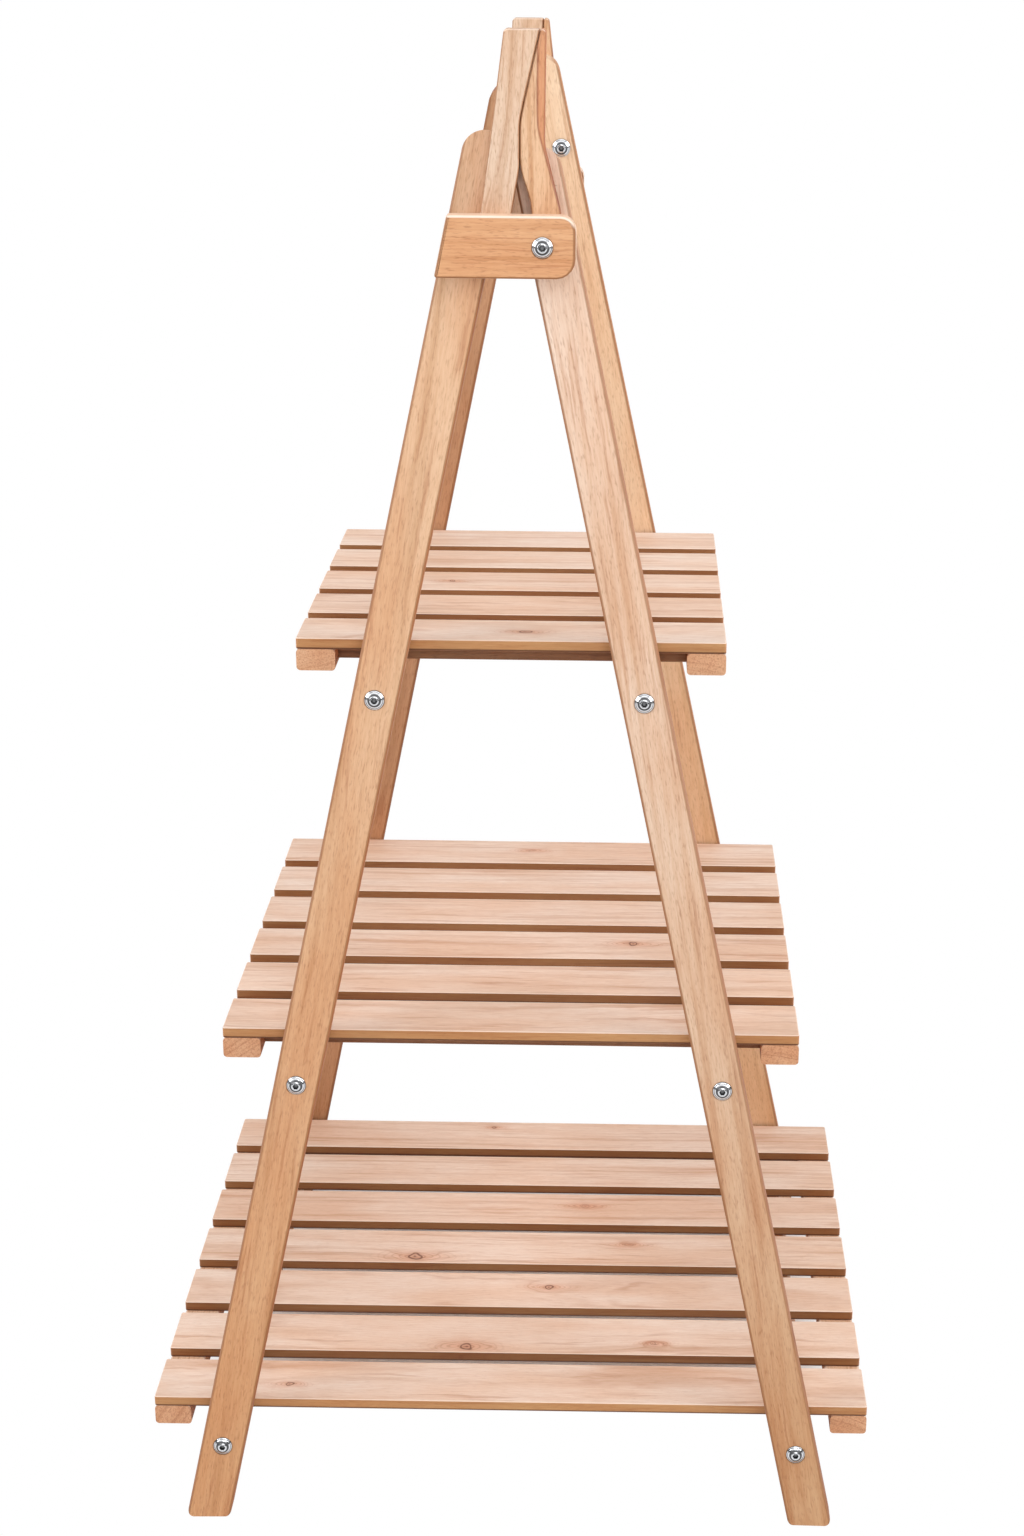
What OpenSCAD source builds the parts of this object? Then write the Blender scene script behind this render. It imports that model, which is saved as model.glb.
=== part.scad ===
// Folding A-frame plant ladder with three slatted shelves that lift off.
// Two ladders, left and right, turn about one axis at the top. Each ladder
// has a front and a back leg joined by three rungs, and the shelves lie on
// the rungs between the legs.
// x is the width, y the depth with the front at -y, z the height; floor at 0.

/* [Legs] */
// Width of a leg's broad face
leg_w = 35; // [32:0.5:36]
// Thickness of a leg
leg_t = 20; // [17:0.5:24]
// Radius of the long edges of a leg
leg_edge_r = 3; // [1:0.5:5]
// Radius of the corners of a foot, seen from the front
foot_corner_r = 5; // [2:0.5:8]
// Lean of each ladder from upright, in degrees
lean = 12; // [11.5:0.1:12.2]
// Distance between the left and right feet, on the legs' centre lines
foot_spread = 498; // [490:1:505]
// Height of the front left leg's round top
front_left_top = 1105; // [1095:1:1112]
// Height of the front right leg's round top
front_right_top = 1094; // [1085:1:1110]
// Height of the back left leg's round top
back_left_top = 1119; // [1100:1:1124]
// Height of the back right leg's round top
back_right_top = 1142; // [1110:1:1160]
// Gap between the left and right legs where their tops meet when open
stop_gap = 0.4; // [0.3:0.1:1]

/* [Rungs] */
// Width of a rung, across the leg
rung_w = 20; // [16:1:24]
// Height of a rung, along the leg
rung_h = 28; // [22:1:32]
// Radius of the long edges of a rung
rung_edge_r = 2; // [1:0.5:3]
// Height of the top bolts above the middle of their rungs
top_bolt_rise = -5; // [-7:0.5:7]
// Height of the middle bolts above the middle of their rungs
middle_bolt_rise = -1; // [-7:0.5:7]
// Height of the lowest bolts above the middle of their rungs
low_bolt_rise = 7; // [-7:0.5:7]

/* [Shelves] */
// Width of a slat
slat_w = 55; // [48:1:60]
// Thickness of a slat
slat_t = 9; // [7:0.5:12]
// Gap between slats
slat_gap = 16; // [12:1:20]
// Radius of the long edges of a slat
slat_edge_r = 1; // [0.5:0.5:3]
// Number of slats on the top shelf
top_slats = 5; // [5:1:6]
// Number of slats on the middle shelf
middle_slats = 6; // [5:1:6]
// Number of slats on the bottom shelf
bottom_slats = 7; // [7:1:8]
// Reach of the top shelf beyond the legs' centre lines, on each side
top_reach = 71; // [60:0.5:90]
// Reach of the middle shelf beyond the legs' centre lines, on each side
middle_reach = 69; // [60:0.5:90]
// Reach of the bottom shelf beyond the legs' centre lines, on each side
bottom_reach = 66; // [60:0.5:90]
// Height of the top shelf's surface
top_z = 729; // [700:1:745]
// Height of the middle shelf's surface
middle_z = 415; // [395:1:425]
// Height of the bottom shelf's surface
bottom_z = 93; // [75:1:105]
// Clearance between a shelf and the legs in front of it and behind it
shelf_clear = 3; // [2.5:0.5:5]
// Gap between a shelf's rails and the rungs that carry it
seat_gap = 0.3; // [0.2:0.1:0.5]

/* [Shelf frames] */
// Width of the battens under the slats' ends
batten_w = 30; // [25:1:33]
// Height of the battens
batten_h = 17; // [14:1:20]
// Radius of the long edges of a batten
batten_edge_r = 3; // [1:0.5:4]
// Width of the rails that lie on the rungs
rail_w = 20; // [15:1:25]
// Height of the rails
rail_h = 13; // [9:1:15]
// Distance of a rail from the shelf's front or back edge
rail_inset = 20; // [10:1:30]

/* [Arms and brackets] */
// Height of the hinge axis
pivot_z = 1028; // [1022:1:1032]
// Distance of the hinge axis from the right legs' centre lines
pivot_side = 5.5; // [0:0.5:6]
// Thickness of the right arms
arm_t = 15; // [12:0.5:18]
// Height of the front arms' tops above the hinge axis
front_arm_rise = 148; // [135:1:160]
// Height of the back arms' tops above the hinge axis
back_arm_rise = 142; // [135:1:160]
// Width of the two arms together at their tops
arm_top_w = 30; // [27:1:34]
// Distance of the front left arm's edge from the hinge axis, at its top
front_arm_set = 28.5; // [26.5:0.5:30.5]
// Distance of the back left arm's edge from the hinge axis, at its top
back_arm_set = 37.5; // [26.5:0.5:39.5]
// Distance of a left arm's edge from the hinge axis, at its foot
arm_foot_set = 45; // [43:0.5:47]
// Distance from the hinge axis to the line where the two arms meet
arm_meet = 17.5; // [16.5:0.1:18.5]
// Radius of the bends in the arms' edges
arm_bend_r = 50; // [30:1:60]
// Radius of the arms' corners
arm_corner_r = 3; // [2:0.5:4]
// Radius of the round foot of a right arm
arm_foot_r = 18; // [16:0.5:19]
// Thickness of a bracket
bracket_t = 15; // [12:0.5:18]
// Height of a bracket
bracket_h = 44; // [40:1:50]
// Length of the front bracket beyond the hinge axis
front_bracket_end = 24; // [20:0.5:26]
// Length of the back bracket beyond the hinge axis
back_bracket_end = 21.5; // [20:0.5:26]
// Radius of the lower corner at a bracket's end
bracket_low_r = 14; // [10:0.5:16]
// Radius of the upper corner at a bracket's end
bracket_top_r = 11; // [8:0.5:14]
// Radius of the corners at a bracket's fixed end
bracket_corner_r = 2; // [1:0.5:4]
// Running gap between a bracket and the right arm behind it
hinge_gap = 1.5; // [1.2:0.1:3]
// Relief between a left arm and the right leg that passes behind it
arm_relief = 0.8; // [0.8:0.1:1.5]

/* [Fasteners] */
// Radius of the bolts' domed heads
head_r = 7.5; // [6:0.5:8]
// Height of the domed heads
head_h = 4; // [3:0.5:5]
// Depth that a rung bolt's head is let into the leg
head_recess = 1; // [0.5:0.5:2]
// Width across the flats of the hex sockets
socket_af = 4; // [3:0.5:5]
// Depth of the hex sockets
socket_depth = 2.5; // [2:0.1:3]
// Radius of the bolts
bolt_r = 3; // [2.5:0.5:3]
// Outer radius of the threaded inserts
insert_r = 5; // [4.5:0.5:6]
// Length of the threaded inserts
insert_l = 15; // [12:1:16]
// Radius of the hinge bolts where the brackets turn on them
pivot_r = 4; // [3.5:0.5:5]
// Thickness of the hinge washers
washer_t = 3.2; // [3:0.1:4]
// Outer radius of the hinge washers
washer_r = 8; // [7:0.5:9]
// Radius of the dowels that hold the brackets
dowel_r = 4; // [3:0.5:5]
// Length of these dowels
dowel_l = 20; // [14:1:22]
// Distance between the two dowels of a bracket
dowel_spacing = 18; // [17.5:0.5:20]
// Wood left in front of the bolt that holds an arm
arm_skin = 4; // [3:0.5:6]
// Distance of the arm bolt from the centre line of the right leg
arm_bolt_side = 6; // [4:0.5:7]
// Distance of the arm bolt above the hinge axis, along the right leg
arm_bolt_rise = 39; // [34:1:44]
// Radius of the screws in the battens
screw_r = 1.75; // [1.5:0.25:2]
// Radius of the screws' countersunk heads
screw_head_r = 3.5; // [3:0.25:4]
// Length of the screws in the battens
screw_l = 22; // [20:0.5:23]

/* [Hidden] */
$fn = 48;
edge_steps = 5;      // straight pieces in each rounded long edge
reach = 700;         // larger than any distance inside the stand
fit = 0.05;          // radial clearance of a pin in its bore
seat_play = 0.1;     // room beside a washer
slip = 0.3;          // radial clearance of a bolt in a leg
head_play = 0.6;     // radial clearance of a bolt's head in its seat
bore_tip = 1;        // bore left beyond the end of a pin
dome_rim = 1;        // straight rim under a bolt's dome
foot_inset = 2;      // how far an arm's foot stays inside its bracket's outline
LEFT = -1;
RIGHT = 1;
FRONT = -1;
BACK = 1;

function shelf_depth(slats) = slats * slat_w + (slats - 1) * slat_gap;

// The legs close in towards the top as the shelves get shallower.
depth_slope = (shelf_depth(bottom_slats) - shelf_depth(top_slats)) / 2 / (top_z - bottom_z);
splay = atan(depth_slope * cos(lean));
tilt = atan(depth_slope);
foot_y = shelf_depth(bottom_slats) / 2 + shelf_clear + bottom_z * depth_slope
    + leg_t / 2 / cos(splay);

// Centre line of a leg, seen from the front and from the side
function leg_x(z) = foot_spread / 2 - z * tan(lean);
function leg_y(z) = foot_y - z * depth_slope;
half_w = leg_w / 2 / cos(lean);
// Place along a leg of the point of its inner face at height z
function along_leg(z) = (z / cos(lean) + leg_t / 2 * sin(splay)) / cos(splay);
// Place along a leg of the centre of its round top
function round_centre(peak) = (peak - leg_w / 2) / (cos(lean) * cos(splay));

pivot_x = leg_x(pivot_z) - pivot_side;
outer_face = leg_t / 2;
bracket_back = outer_face + arm_t + hinge_gap;
bracket_front = bracket_back + bracket_t;

// A rung is square to its leg, so its highest point is a rounded corner.
rung_peak = (rung_w / 2 - rung_edge_r) * sin(lean)
    + (rung_h / 2 - rung_edge_r) * cos(lean) + rung_edge_r;
rung_drop = slat_t + rail_h + seat_gap + rung_peak;
rung_heights = [top_z - rung_drop, middle_z - rung_drop, bottom_z - rung_drop];
bolt_rises = [top_bolt_rise, middle_bolt_rise, low_bolt_rise];

// Length of a shelf at height z that reaches this far beyond the legs
function shelf_w(z, beyond_legs) = 2 * (leg_x(z) + beyond_legs);
top_w = shelf_w(top_z, top_reach);
middle_w = shelf_w(middle_z, middle_reach);
bottom_w = shelf_w(bottom_z, bottom_reach);

shaft_grip = insert_l - bore_tip;        // length of bolt inside an insert
rung_bolt_l = leg_t - head_recess + shaft_grip;
arm_bolt_l = leg_t + arm_t - arm_skin;

// Where the hinge bolt meets the faces that it passes, along y
pivot_y = leg_y(pivot_z);
pivot_leg_y = pivot_y + outer_face / cos(splay);
gap_mid_y = pivot_y + (outer_face + arm_t + hinge_gap / 2) / cos(tilt);
spot_r = head_r + head_play;
spot_depth = spot_r * tan(tilt) + seat_play;
head_seat_y = pivot_y + bracket_front / cos(tilt) - spot_depth;
// The insert's mouth lies just below the leg's slanting face.
pivot_insert_y = pivot_leg_y - insert_r * tan(splay) - 2 * slip;

// The outlines of the arms and brackets are seen from the front. Their points
// are x, the height above the hinge axis, and the corner's radius. The two arms
// of a pair meet along the stop line when the stand is open.
function arm_rise(end) = end == FRONT ? front_arm_rise : back_arm_rise;
function arm_left(end) = pivot_x - (end == FRONT ? front_arm_set : back_arm_set);
bend_x = pivot_x - front_arm_set + arm_top_w - arm_corner_r / 3;
waist_x = pivot_x - arm_meet;
foot_half_h = bracket_h / 2 - foot_inset;
function left_leg_edge(height) = -leg_x(pivot_z + height) - half_w;
function stop_line(end) = [
    [arm_left(end) + arm_top_w * 0.85, arm_rise(end), 0],
    [waist_x + arm_top_w * 0.1, arm_rise(end) * 0.67, arm_bend_r],
    [waist_x, arm_rise(end) * 0.57, arm_bend_r],
    [waist_x, arm_rise(end) * 0.36, arm_bend_r],
];
function left_arm_outline(end) = concat([
    [arm_left(end), arm_rise(end), arm_corner_r],
    [pivot_x - arm_foot_set, foot_half_h, arm_corner_r],
    [left_leg_edge(foot_half_h) + foot_inset, foot_half_h, arm_corner_r],
    [left_leg_edge(-foot_half_h) + foot_inset, -foot_half_h, arm_corner_r],
    [pivot_x - front_arm_set, -foot_half_h, 2 * arm_corner_r],
    [waist_x - arm_meet / 3, foot_half_h, arm_bend_r]],
    [for (i = [3:-1:0]) stop_line(end)[i]]);
function right_arm_outline(end) = concat(
    [for (p = stop_line(end)) [p.x + stop_gap, p.y, p[2]]], [
    [pivot_x - arm_foot_r * 0.3, foot_half_h, arm_bend_r],
    [pivot_x - arm_foot_r * 0.7, 0, arm_corner_r],
    [pivot_x + arm_foot_r * 0.7, 0, arm_corner_r],
    [pivot_x + arm_foot_r * 0.72, foot_half_h, arm_bend_r],
    [bend_x, arm_rise(end) * 0.46, arm_bend_r],
    [arm_left(end) + arm_top_w, arm_rise(end), arm_corner_r]]);
function bracket_tip(end) = pivot_x + (end == FRONT ? front_bracket_end : back_bracket_end);
function bracket_outline(end) = [
    [left_leg_edge(bracket_h / 2), bracket_h / 2, bracket_corner_r],
    [left_leg_edge(-bracket_h / 2), -bracket_h / 2, bracket_corner_r],
    [bracket_tip(end), -bracket_h / 2, bracket_low_r],
    [bracket_tip(end), bracket_h / 2, bracket_top_r],
];
dowel_places = [-leg_x(pivot_z) - dowel_spacing / 2, -leg_x(pivot_z) + dowel_spacing / 2];

function slat_names(shelf, slats) = [for (i = [1:slats]) str(shelf, "_slat_", i)];

// ---- Shapes that are used again ----

// Points of one corner, turned into an arc of radius r between its two sides
function corner_arc(before, at, after, r) =
    let (
        to_before = (before - at) / norm(before - at),
        to_after = (after - at) / norm(after - at),
        half_angle = acos(to_before * to_after) / 2,
        middle = (to_before + to_after) / norm(to_before + to_after),
        centre = at + middle * r / sin(half_angle),
        start = at + to_before * r / tan(half_angle) - centre,
        turn = cross(to_before, to_after) > 0 ? -1 : 1,
        sweep = 180 - 2 * half_angle
    )
    [for (i = [0:edge_steps]) let (a = turn * sweep * i / edge_steps)
        centre + [start.x * cos(a) - start.y * sin(a), start.x * sin(a) + start.y * cos(a)]];

// Outline through corners [x, y, radius], each rounded by its own radius
module rounded_outline(corners) {
    n = len(corners);
    polygon([for (i = [0:n - 1])
        let (p = corners[i], before = corners[(i + n - 1) % n], after = corners[(i + 1) % n])
        each (p[2] == 0 ? [[p.x, p.y]]
            : corner_arc([before.x, before.y], [p.x, p.y], [after.x, after.y], p[2]))]);
}

// Section of a board with rounded long edges
module board_section(w, h, r) {
    rounded_outline([[-w / 2, -h / 2, r], [w / 2, -h / 2, r], [w / 2, h / 2, r], [-w / 2, h / 2, r]]);
}

// Frame of a leg: z runs up the leg from the floor, y is across its thickness
module on_leg(side, end) {
    translate([side * foot_spread / 2, end * foot_y, 0])
        rotate([0, -side * lean, 0])
            rotate([end * splay, 0, 0])
                children();
}

// Frame of a bracket: level along x, leaning back as the legs do
module on_bracket(end) {
    translate([0, end * foot_y, 0])
        rotate([end * tilt, 0, 0])
            children();
}

// Turns z outwards from the stand, at a distance y out from the frame's middle
module facing_out(end, y) {
    translate([0, end * y, 0])
        rotate([-90 * end, 0, 0])
            children();
}

// All space further out than y
module beyond(end, y) {
    facing_out(end, y)
        translate([-reach, -2 * reach, 0])
            cube([2 * reach, 4 * reach, reach]);
}

// All space further in than y
module within(end, y) {
    facing_out(end, y)
        translate([-reach, -2 * reach, -reach])
            cube([2 * reach, 4 * reach, reach]);
}

// Domed bolt with a hex socket; the head stands on z = 0, the shank goes down
module bolt(shank_r, shank_l) {
    dome = head_h - dome_rim;
    dome_r = (head_r * head_r + dome * dome) / 2 / dome;
    dome_angle = asin(head_r / dome_r);
    difference() {
        union() {
            rotate_extrude()
                polygon(concat([[0, 0], [head_r, 0]],
                    [for (i = [0:edge_steps]) let (a = dome_angle * (1 - i / edge_steps))
                        [dome_r * sin(a), head_h - dome_r * (1 - cos(a))]]));
            translate([0, 0, -shank_l])
                cylinder(h = shank_l + dome_rim / 2, r = shank_r);
        }
        translate([0, 0, head_h - socket_depth])
            cylinder(h = 2 * socket_depth, r = socket_af / sqrt(3), $fn = 6);
    }
}

// Threaded insert, mouth at z = 0, going down
module insert() {
    difference() {
        translate([0, 0, -insert_l])
            cylinder(h = insert_l, r = insert_r);
        translate([0, 0, -insert_l - 1])
            cylinder(h = insert_l + 2, r = bolt_r + fit);
    }
}

// ---- Ladders ----

module leg_blank(peak) {
    top = round_centre(peak);
    below = 30;
    intersection() {
        translate([0, 0, -below])
            linear_extrude(top + leg_w + below)
                board_section(leg_w, leg_t, leg_edge_r);
        union() {
            translate([-leg_w, -leg_t, -below])
                cube([2 * leg_w, 2 * leg_t, top + below]);
            translate([0, leg_t, top])
                rotate([90, 0, 0])
                    cylinder(h = 2 * leg_t, r = leg_w / 2);
        }
    }
}

// What is cut off the two corners of a foot, drawn through the whole depth
module foot_corners(side) {
    waste = 2 * foot_corner_r;
    uphill = [-side * sin(lean), cos(lean)];
    rotate([90, 0, 0])
        linear_extrude(2 * reach, center = true)
            for (e = [-1, 1])
                let (
                    corner = [side * foot_spread / 2 + e * half_w, 0],
                    arc = corner_arc(corner - [e, 0], corner, corner + uphill, foot_corner_r)
                )
                polygon(concat(arc, [
                    arc[edge_steps] + [e * waste, 0],
                    corner + [e * waste, -waste],
                    [arc[0].x, -waste]]));
}

// Places on a right leg for the bolt that holds its arm, and on a left leg
function arm_bolt_x(side) = side == RIGHT ? arm_bolt_side : 0;
function arm_bolt_z(side) = along_leg(pivot_z) + (side == RIGHT ? arm_bolt_rise : 0);
// Place along a leg of the bolt of its rung i
function bolt_along(i) = along_leg(rung_heights[i]) + bolt_rises[i];

module leg(side, end, peak) {
    color("burlywood")
    difference() {
        on_leg(side, end)
            leg_blank(peak);
        // flat foot on the floor
        translate([-reach, -reach, -reach])
            cube([2 * reach, 2 * reach, reach]);
        foot_corners(side);
        on_leg(side, end) {
            // rung bolts
            for (i = [0:2])
                translate([0, 0, bolt_along(i)]) {
                    facing_out(end, -leg_t)
                        cylinder(h = 2 * leg_t, r = bolt_r + slip);
                    facing_out(end, outer_face - head_recess)
                        cylinder(h = leg_t, r = head_r + head_play);
                }
            // arm bolt
            translate([arm_bolt_x(side), 0, arm_bolt_z(side)])
                facing_out(end, -leg_t)
                    cylinder(h = 2 * leg_t, r = bolt_r + slip);
        }
        if (side == RIGHT)
            // blind hole for the hinge insert
            translate([pivot_x, 0, pivot_z])
                facing_out(end, pivot_insert_y - insert_l - bore_tip)
                    cylinder(h = insert_l + leg_t, r = insert_r + fit);
        if (side == LEFT)
            // stop face that meets the right leg's edge
            on_leg(RIGHT, end)
                translate([-leg_w / 2 - stop_gap, -reach / 2, 0])
                    cube([reach, reach, 2 * reach]);
    }
}

module rung(side, i) {
    z = rung_heights[i];
    color("burlywood")
    difference() {
        translate([side * leg_x(z), 0, z])
            rotate([0, -side * lean, 0])
                rotate([90, 0, 0])
                    linear_extrude(2 * foot_y, center = true)
                        board_section(rung_w, rung_h, rung_edge_r);
        for (end = [FRONT, BACK])
            on_leg(side, end) {
                beyond(end, -leg_t / 2);
                translate([0, 0, bolt_along(i)])
                    facing_out(end, -leg_t / 2 - insert_l - bore_tip)
                        cylinder(h = insert_l + leg_t, r = insert_r + fit);
            }
    }
}

module rung_bolts(side) {
    color("silver")
    for (end = [FRONT, BACK], i = [0:2])
        on_leg(side, end)
            translate([0, 0, bolt_along(i)])
                facing_out(end, outer_face - head_recess)
                    bolt(bolt_r, rung_bolt_l);
}

module rung_inserts(side) {
    color("goldenrod")
    for (end = [FRONT, BACK], i = [0:2])
        on_leg(side, end)
            translate([0, 0, bolt_along(i)])
                facing_out(end, -leg_t / 2)
                    insert();
}

// ---- Hinge ----

// Outline seen from the front, drawn through the whole depth on one side
module through_depth(end, outline) {
    translate([0, end * reach / 2, pivot_z])
        rotate([90, 0, 0])
            linear_extrude(reach, center = true)
                rounded_outline(outline);
}

module arm_bolt_bore(side, end) {
    on_leg(side, end)
        translate([arm_bolt_x(side), 0, arm_bolt_z(side)])
            facing_out(end, 0)
                cylinder(h = arm_bolt_l - leg_t / 2 + bore_tip, r = bolt_r + fit);
}

module left_arm(end) {
    color("wheat")
    difference() {
        through_depth(end, left_arm_outline(end));
        on_leg(LEFT, end)
            within(end, outer_face);
        on_leg(RIGHT, end)
            within(end, outer_face + arm_relief);
        on_bracket(end) {
            beyond(end, bracket_back);
            dowel_bores(end);
        }
        arm_bolt_bore(LEFT, end);
    }
}

module right_arm(end) {
    color("sandybrown")
    difference() {
        union() {
            through_depth(end, right_arm_outline(end));
            translate([pivot_x, 0, pivot_z])
                facing_out(end, 0)
                    cylinder(h = reach, r = arm_foot_r);
        }
        on_leg(RIGHT, end) {
            within(end, outer_face);
            beyond(end, outer_face + arm_t);
        }
        arm_bolt_bore(RIGHT, end);
        translate([pivot_x, 0, pivot_z]) {
            facing_out(end, 0)
                cylinder(h = reach, r = pivot_r + fit);
            facing_out(end, gap_mid_y - washer_t / 2 - seat_play)
                cylinder(h = reach, r = washer_r + slip);
        }
    }
}

module dowel_bores(end) {
    for (x = dowel_places)
        translate([x, 0, pivot_z / cos(tilt)])
            facing_out(end, bracket_back - dowel_l / 2 - bore_tip)
                cylinder(h = dowel_l + 2 * bore_tip, r = dowel_r + fit);
}

module bracket(end) {
    color("peru")
    difference() {
        through_depth(end, bracket_outline(end));
        on_bracket(end) {
            within(end, bracket_back);
            beyond(end, bracket_front);
            dowel_bores(end);
        }
        translate([pivot_x, 0, pivot_z]) {
            facing_out(end, 0)
                cylinder(h = reach, r = pivot_r + fit);
            facing_out(end, gap_mid_y - washer_t)
                cylinder(h = 1.5 * washer_t + seat_play, r = washer_r + slip);
            facing_out(end, head_seat_y)
                cylinder(h = bracket_t, r = spot_r);
        }
    }
}

module bracket_dowels() {
    color("tan")
    for (end = [FRONT, BACK], x = dowel_places)
        on_bracket(end)
            translate([x, 0, pivot_z / cos(tilt)])
                facing_out(end, bracket_back - dowel_l / 2)
                    cylinder(h = dowel_l, r = dowel_r);
}

module hinge_bolts() {
    color("silver")
    for (end = [FRONT, BACK])
        translate([pivot_x, 0, pivot_z])
            facing_out(end, head_seat_y) {
                shoulder = head_seat_y - pivot_insert_y;
                bolt(pivot_r, shoulder);
                translate([0, 0, -shoulder - shaft_grip])
                    cylinder(h = shaft_grip + 1, r = bolt_r);
            }
}

module hinge_inserts() {
    color("goldenrod")
    for (end = [FRONT, BACK])
        translate([pivot_x, 0, pivot_z])
            facing_out(end, pivot_insert_y)
                insert();
}

module hinge_washers() {
    color("silver")
    for (end = [FRONT, BACK])
        translate([pivot_x, 0, pivot_z])
            facing_out(end, gap_mid_y - washer_t / 2)
                difference() {
                    cylinder(h = washer_t, r = washer_r);
                    translate([0, 0, -1])
                        cylinder(h = washer_t + 2, r = pivot_r + fit);
                }
}

module arm_bolts(side) {
    color("silver")
    for (end = [FRONT, BACK])
        on_leg(side, end)
            translate([arm_bolt_x(side), 0, arm_bolt_z(side)])
                facing_out(end, -leg_t / 2)
                    rotate([180, 0, 0])
                        bolt(bolt_r, arm_bolt_l);
}

// ---- Shelves ----

function slat_y(slats, i) = -shelf_depth(slats) / 2 + slat_w / 2 + i * (slat_w + slat_gap);
function batten_x(w) = w / 2 - batten_w / 2;
function batten_base(z) = z - slat_t - batten_h;

// Board lying along x, or along y
module board_along_x(w, h, r, l) {
    rotate([90, 0, 90])
        linear_extrude(l, center = true)
            board_section(w, h, r);
}

module board_along_y(w, h, r, l) {
    rotate([90, 0, 0])
        linear_extrude(l, center = true)
            board_section(w, h, r);
}

module screw_bores(slats, w, z) {
    sink = screw_head_r - screw_r;
    for (side = [LEFT, RIGHT], i = [0:slats - 1])
        translate([side * batten_x(w), slat_y(slats, i), batten_base(z)]) {
            translate([0, 0, -1])
                cylinder(h = screw_l + 1.5, r = screw_r + fit);
            translate([0, 0, -fit])
                cylinder(h = sink + fit, r1 = screw_head_r + fit, r2 = screw_r + fit);
        }
}

module slat(slats, w, z, i) {
    color("bisque")
    difference() {
        translate([0, slat_y(slats, i), z - slat_t / 2])
            board_along_x(slat_w, slat_t, slat_edge_r, w);
        screw_bores(slats, w, z);
    }
}

module batten(slats, w, z, side) {
    color("tan")
    difference() {
        translate([side * batten_x(w), 0, batten_base(z) + batten_h / 2])
            board_along_y(batten_w, batten_h, batten_edge_r, shelf_depth(slats));
        screw_bores(slats, w, z);
    }
}

module rail(slats, w, z, end) {
    color("peru")
    translate([0, end * (shelf_depth(slats) / 2 - rail_inset - rail_w / 2), z - slat_t - rail_h / 2])
        board_along_x(rail_w, rail_h, 1, w - 2 * batten_w);
}

module shelf_screws(slats, w, z) {
    sink = screw_head_r - screw_r;
    color("silver")
    for (side = [LEFT, RIGHT], i = [0:slats - 1])
        translate([side * batten_x(w), slat_y(slats, i), batten_base(z)]) {
            cylinder(h = screw_l, r = screw_r);
            cylinder(h = sink, r1 = screw_head_r, r2 = screw_r);
        }
}

// ---- Every piece under its own name ----

leg(LEFT, FRONT, front_left_top);  // front_left_leg
leg(LEFT, BACK, back_left_top);  // back_left_leg
leg(RIGHT, FRONT, front_right_top);  // front_right_leg
leg(RIGHT, BACK, back_right_top);  // back_right_leg

rung(LEFT, 0);  // left_top_rung
rung(LEFT, 1);  // left_middle_rung
rung(LEFT, 2);  // left_bottom_rung
rung(RIGHT, 0);  // right_top_rung
rung(RIGHT, 1);  // right_middle_rung
rung(RIGHT, 2);  // right_bottom_rung

left_arm(FRONT);  // front_left_arm
left_arm(BACK);  // back_left_arm
right_arm(FRONT);  // front_right_arm
right_arm(BACK);  // back_right_arm
bracket(FRONT);  // front_bracket
bracket(BACK);  // back_bracket

for (i = [0:top_slats - 1])
    slat(top_slats, top_w, top_z, i);
for (i = [0:middle_slats - 1])
    slat(middle_slats, middle_w, middle_z, i);
for (i = [0:bottom_slats - 1])
    slat(bottom_slats, bottom_w, bottom_z, i);

batten(top_slats, top_w, top_z, LEFT);  // top_left_batten
batten(top_slats, top_w, top_z, RIGHT);  // top_right_batten
rail(top_slats, top_w, top_z, FRONT);  // top_front_rail
rail(top_slats, top_w, top_z, BACK);  // top_back_rail
batten(middle_slats, middle_w, middle_z, LEFT);  // middle_left_batten
batten(middle_slats, middle_w, middle_z, RIGHT);  // middle_right_batten
rail(middle_slats, middle_w, middle_z, FRONT);  // middle_front_rail
rail(middle_slats, middle_w, middle_z, BACK);  // middle_back_rail
batten(bottom_slats, bottom_w, bottom_z, LEFT);  // bottom_left_batten
batten(bottom_slats, bottom_w, bottom_z, RIGHT);  // bottom_right_batten
rail(bottom_slats, bottom_w, bottom_z, FRONT);  // bottom_front_rail
rail(bottom_slats, bottom_w, bottom_z, BACK);  // bottom_back_rail

rung_bolts(LEFT);  // left_rung_bolts
rung_bolts(RIGHT);  // right_rung_bolts
rung_inserts(LEFT);  // left_rung_inserts
rung_inserts(RIGHT);  // right_rung_inserts
hinge_bolts();
hinge_inserts();
hinge_washers();
arm_bolts(LEFT);  // left_arm_bolts
arm_bolts(RIGHT);  // right_arm_bolts
bracket_dowels();

shelf_screws(top_slats, top_w, top_z);  // top_screws
shelf_screws(middle_slats, middle_w, middle_z);  // middle_screws
shelf_screws(bottom_slats, bottom_w, bottom_z);  // bottom_screws
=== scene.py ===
# Looks of the folding plant ladder stand: sanded and oiled softwood boards,
# nickel-plated bolts, a pale floor and soft studio light.
# Sizes are millimetres, and MM turns them into Blender's metres.
import math

import bmesh
import bpy
import numpy as np
from mathutils import Matrix, Vector


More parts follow.
